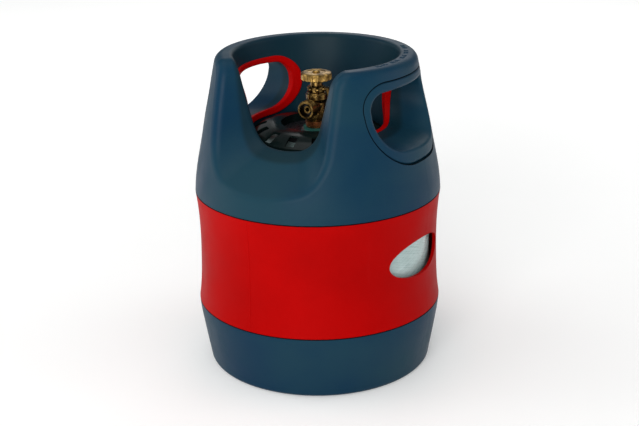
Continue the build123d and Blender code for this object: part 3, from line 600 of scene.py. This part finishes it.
def make_rim_marks(material):
    """Plain raised bars, narrow and wide by turns, on the collar's rim."""
    mesh = frame["nodes"]["upper_casing"].data
    top = [v.co for v in mesh.vertices if v.co.z > cad_high.z - FLAT_TOLERANCE]
    inner = min(math.hypot(co.x, co.y) for co in top)
    outer = max(math.hypot(co.x, co.y) for co in top)
    middle = (inner + outer) / 2
    work = bmesh.new()
    for group in RIM_MARK_GROUPS:
        for index, width in enumerate(RIM_MARK_WIDTHS):
            angle = math.radians(group + RIM_MARK_STEP * (index - (len(RIM_MARK_WIDTHS) - 1) / 2))
            half = width / middle / 2
            corners = []
            for turn, radius in ((-half, -1), (half, -1), (half, 1), (-half, 1)):
                out = middle + radius * RIM_MARK_DEPTH / 2
                corners.append((out * math.sin(angle + turn), -out * math.cos(angle + turn)))
            low = [work.verts.new((x, y, cad_high.z - RIM_MARK_SUNK)) for x, y in corners]
            high = [work.verts.new((x, y, cad_high.z + RIM_MARK_PROUD)) for x, y in corners]
            work.faces.new(high)
            work.faces.new(list(reversed(low)))
            bridge(work, low, high)
    edges = [e for e in work.edges if max(v.co.z for v in e.verts) > cad_high.z]
    bmesh.ops.bevel(work, geom=edges, offset=RIM_MARK_BEVEL, segments=3, profile=0.5, affect="EDGES")
    new_piece("rim_marks", work, "cylinder", material)


def make_parting_line(angle, low, high, material):
    """Fine raised mould line up the band."""
    tree = surface_of("middle_band")
    outward = heading(angle)
    side = heading(angle + 90)
    path, sections = [], []
    for step in range(PARTING_STEPS + 1):
        height = low + (high - low) * step / PARTING_STEPS
        place = outward * surface_radius(tree, angle, height)
        place.z = height
        path.append(place)
        fade = 1.0 if 0 < step < PARTING_STEPS else PARTING_END_FADE
        sections.append([
            -side * PARTING_WIDTH - outward * PARTING_PROUD,
            side * PARTING_WIDTH - outward * PARTING_PROUD,
            side * PARTING_WIDTH * PARTING_TOP_SHARE + outward * PARTING_PROUD * fade,
            -side * PARTING_WIDTH * PARTING_TOP_SHARE + outward * PARTING_PROUD * fade,
        ])
    new_piece("band_parting_line", swept(path, sections), "cylinder", material)


def bead_section(across, normal):
    """Square section of a bead that lies in a joint."""
    return [
        -across * BEAD_HALF_WIDTH - normal * BEAD_DEPTH,
        across * BEAD_HALF_WIDTH - normal * BEAD_DEPTH,
        across * BEAD_HALF_WIDTH + normal * BEAD_PROUD,
        -across * BEAD_HALF_WIDTH + normal * BEAD_PROUD,
    ]


def panel_outline():
    """Points (y, z) round a grip panel, closed, with wide corners below and tighter ones above."""
    corners = (
        (PANEL_HALF, PANEL_LOW, PANEL_LOW_ROUND, -90),
        (PANEL_HALF, PANEL_HIGH, PANEL_HIGH_ROUND, 0),
        (-PANEL_HALF, PANEL_HIGH, PANEL_HIGH_ROUND, 90),
        (-PANEL_HALF, PANEL_LOW, PANEL_LOW_ROUND, 180),
    )
    bends = []
    for y, z, radius, start in corners:
        centre_y = y - math.copysign(radius, y)
        centre_z = z + radius if z == PANEL_LOW else z - radius
        bend = []
        for step in range(CORNER_STEPS + 1):
            angle = math.radians(start + 90 * step / CORNER_STEPS)
            bend.append((centre_y + radius * math.cos(angle), centre_z + radius * math.sin(angle)))
        bends.append(bend)
    points = []
    for bend, following in zip(bends, bends[1:] + bends[:1]):
        points += bend
        last, first = bend[-1], following[0]
        for step in range(1, SIDE_STEPS):
            share = step / SIDE_STEPS
            points.append(tuple(a + (b - a) * share for a, b in zip(last, first)))
    return points + points[:1]


def make_panel_shadow_bead(name, side, material):
    """Painted shadow: dark bead that fills the joint round one grip panel, for the shade in the gap; side
    is 1 for +X and -1 for -X.
    """
    tree = surface_of("upper_casing")
    places, normals = [], []
    for y, z in panel_outline():
        above, radius, below = (
            surface_radius(tree, BACK, place) for place in (z + SLOPE_SPAN, z, z - SLOPE_SPAN)
        )
        slope = (above - below) / (2 * SLOPE_SPAN)
        place = Vector((side * math.sqrt(radius * radius - y * y), y, z))
        places.append(place)
        normals.append(Vector((place.x, place.y, -radius * slope)).normalized())
    sections = []
    count = len(places)
    for index, normal in enumerate(normals):
        before = places[index - 1] if index else places[-2]
        after = places[index + 1] if index < count - 1 else places[1]
        across = normal.cross(after - before).normalized()
        sections.append(bead_section(across, normal))
    new_piece(name, swept(places, sections), "cylinder", material)


def make_seam_shadow_bead(name, height, material):
    """Painted shadow: dark bead in the groove between two casing pieces, for the shade in the groove."""
    radii = []
    for node in ("upper_casing", "middle_band", "lower_casing"):
        tree = surface_of(node)
        for place in (height - SLOPE_SPAN, height + SLOPE_SPAN):
            node_low, node_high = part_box(node)
            if node_low.z < place < node_high.z:
                radii.append(surface_radius(tree, BACK, place))
    radius = max(radii) + BEAD_PROUD
    inner = radius - BEAD_DEPTH
    low, high = height - BEAD_HALF_WIDTH, height + BEAD_HALF_WIDTH
    outline = [(inner, low), (radius, low), (radius, high), (inner, high)]
    new_piece(name, lathe(outline, SEAM_BEAD_STEPS), "cylinder", material)


# ---- Camera, floor and light ----
def make_camera():
    """Camera where the photograph's was, with its lens."""
    data = bpy.data.cameras.new("camera")
    data.lens = CAMERA_LENS
    data.sensor_width = SENSOR_WIDTH
    data.clip_start = 0.05
    data.clip_end = 50
    camera = bpy.data.objects.new("camera", data)
    bpy.context.scene.collection.objects.link(camera)
    turn = Matrix.Rotation(math.radians(CAMERA_AZIMUTH + CAMERA_YAW), 4, "Z")
    tilt = Matrix.Rotation(math.radians(90 - CAMERA_PITCH), 4, "X")
    roll = Matrix.Rotation(math.radians(CAMERA_ROLL), 4, "Z")
    place = heading(CAMERA_AZIMUTH) * CAMERA_DISTANCE
    place.z = CAMERA_HEIGHT
    camera.matrix_world = Matrix.Translation(place) @ turn @ tilt @ roll
    bpy.context.scene.camera = camera


def make_floor():
    """Pale paper floor that glows a little, more so further away, so that it stays near white."""
    surface = Surface("floor_paper")
    colour = surface.mix(surface.noise(PAPER_TONE_SCALE, 3), FLOOR_DARK, FLOOR_LIGHT)
    roughness = surface.remap(surface.noise(PAPER_GLOSS_SCALE, 3), *NOISE_BAND, *PAPER_ROUGHNESS)
    normal = surface.height(surface.noise(PAPER_GRAIN_SCALE, 3), PAPER_GRAIN_DEPTH)
    material = surface.finish(colour, roughness, normal, specular_ior_level=0.1)
    away = surface.distance(surface.place, (0, 0, 0))
    glow = surface.remap(away, cad_high.x, FLOOR_GLOW_REACH, FLOOR_GLOW_NEAR, FLOOR_GLOW_FAR)
    surface.feed(surface.shader.inputs["Emission Strength"], glow)
    surface.feed(surface.shader.inputs["Emission Color"], FLOOR_LIGHT)
    work = bmesh.new()
    bmesh.ops.create_grid(work, x_segments=8, y_segments=8, size=FLOOR_HALF)
    mesh = bpy.data.meshes.new("floor")
    work.to_mesh(mesh)
    work.free()
    mesh.materials.append(material)
    floor = bpy.data.objects.new("floor", mesh)
    bpy.context.scene.collection.objects.link(floor)


def make_light(name, azimuth, distance, height, size, power):
    """Soft square lamp aimed at the middle of the object. Azimuth runs from -Y towards +X."""
    data = bpy.data.lights.new(name, "AREA")
    data.size = size
    data.energy = power
    light = bpy.data.objects.new(name, data)
    bpy.context.scene.collection.objects.link(light)
    place = heading(azimuth) * distance
    place.z = height
    target = (cad_low + cad_high) / 2
    aim = (target - place).to_track_quat("-Z", "Y")
    light.matrix_world = Matrix.Translation(place) @ aim.to_matrix().to_4x4()


def make_studio():
    """Even pale surroundings, the soft lamps and a plain view transform."""
    world = bpy.data.worlds.new("studio")
    world.use_nodes = True
    background = world.node_tree.nodes["Background"]
    background.inputs["Color"].default_value = WORLD_COLOUR
    background.inputs["Strength"].default_value = WORLD_STRENGTH
    scene = bpy.context.scene
    scene.world = world
    scene.view_settings.view_transform = "Standard"
    scene.view_settings.look = "None"
    for name, azimuth, distance, height, size, power in LIGHTS:
        make_light(name, azimuth, distance, height, size, power)


# ---- The scene ----
def dress():
    """Gives every CAD node its finish, then adds the fine pieces."""
    # The casing plastic carries a painted highlight on the apron and painted shade on the collar's inner
    # wall.
    casing = moulded_plastic("casing_plastic", CASING_DARK, CASING_LIGHT, 0.44, 1.20, with_painted_light=True)
    red = moulded_plastic("red_plastic", RED_DARK, RED_LIGHT, 0.46, 1.10)
    disc = moulded_plastic("disc_plastic", DISC_DARK, DISC_LIGHT, 0.20, 1.22, FINE_GRAIN_DEPTH)
    brass = metal("brass", BRASS_DARK, BRASS_LIGHT, 0.30)
    # Painted shade: the darker copy of the brass, for the valve parts in shade.
    shaded_brass = metal("painted_shade_brass", SHADED_BRASS_DARK, SHADED_BRASS_LIGHT, 0.18)
    copper = metal("neck_brass", COPPER_DARK, COPPER_LIGHT, 0.30)
    steel = metal("zinc_plate", STEEL_DARK, STEEL_LIGHT, 0.25)
    black = rubber("black_rubber", RUBBER_DARK, RUBBER_LIGHT)
    pad = rubber("pad_rubber", RUBBER_DARK, RUBBER_LIGHT, 0.32)
    # Painted shadow: near-black, almost unreflecting bead for the shade in the joints.
    bead = rubber("painted_shadow_bead", SHADOW_BEAD_DARK, SHADOW_BEAD_LIGHT, 0.85, 0.02)
    teal = rubber("gasket", GASKET_DARK, GASKET_LIGHT, 0.55)
    fibre = glass_fibre("wound_glass_fibre")
    liner = moulded_plastic("liner_plastic", LINER_DARK, LINER_LIGHT, 0.5, 1.4)
    by_slot = {
        "casing_blue": casing,
        "band_red": red,
        "grip_red": red,
        "disc_plastic": disc,
        "pad_rubber": pad,
        "composite": fibre,
        "liner_plastic": liner,
        "brass": brass,
        "bright_steel": steel,
        "gasket_green": teal,
        "seal_rubber": black,
        "spring_steel": steel,
    }
    for part in frame["record"]["subparts"]:
        node = frame["nodes"][part["node"]]
        material = by_slot[part["material_slot"]]
        node.data.materials.clear()
        # Valve parts in shade get the darker brass, painted shade.
        node.data.materials.append(shaded_brass if part["node"] in SHADED_BRASS_NODES else material)
    make_overwrap(fibre)
    make_relief_coil(steel)
    make_outlet_thread(shaded_brass)
    make_neck_thread(copper)
    make_rim_marks(casing)
    make_panel_shadow_bead("panel_shadow_bead_right", 1, bead)
    make_panel_shadow_bead("panel_shadow_bead_left", -1, bead)
    make_seam_shadow_bead("lower_seam_shadow_bead", LOWER_SEAM_Z, bead)
    make_seam_shadow_bead("upper_seam_shadow_bead", UPPER_SEAM_Z, bead)
    make_parting_line(PARTING_ANGLE, LOWER_SEAM_Z + SEAM_MARGIN, UPPER_SEAM_Z - SEAM_MARGIN, red)


dress()
make_camera()
make_floor()
make_studio()
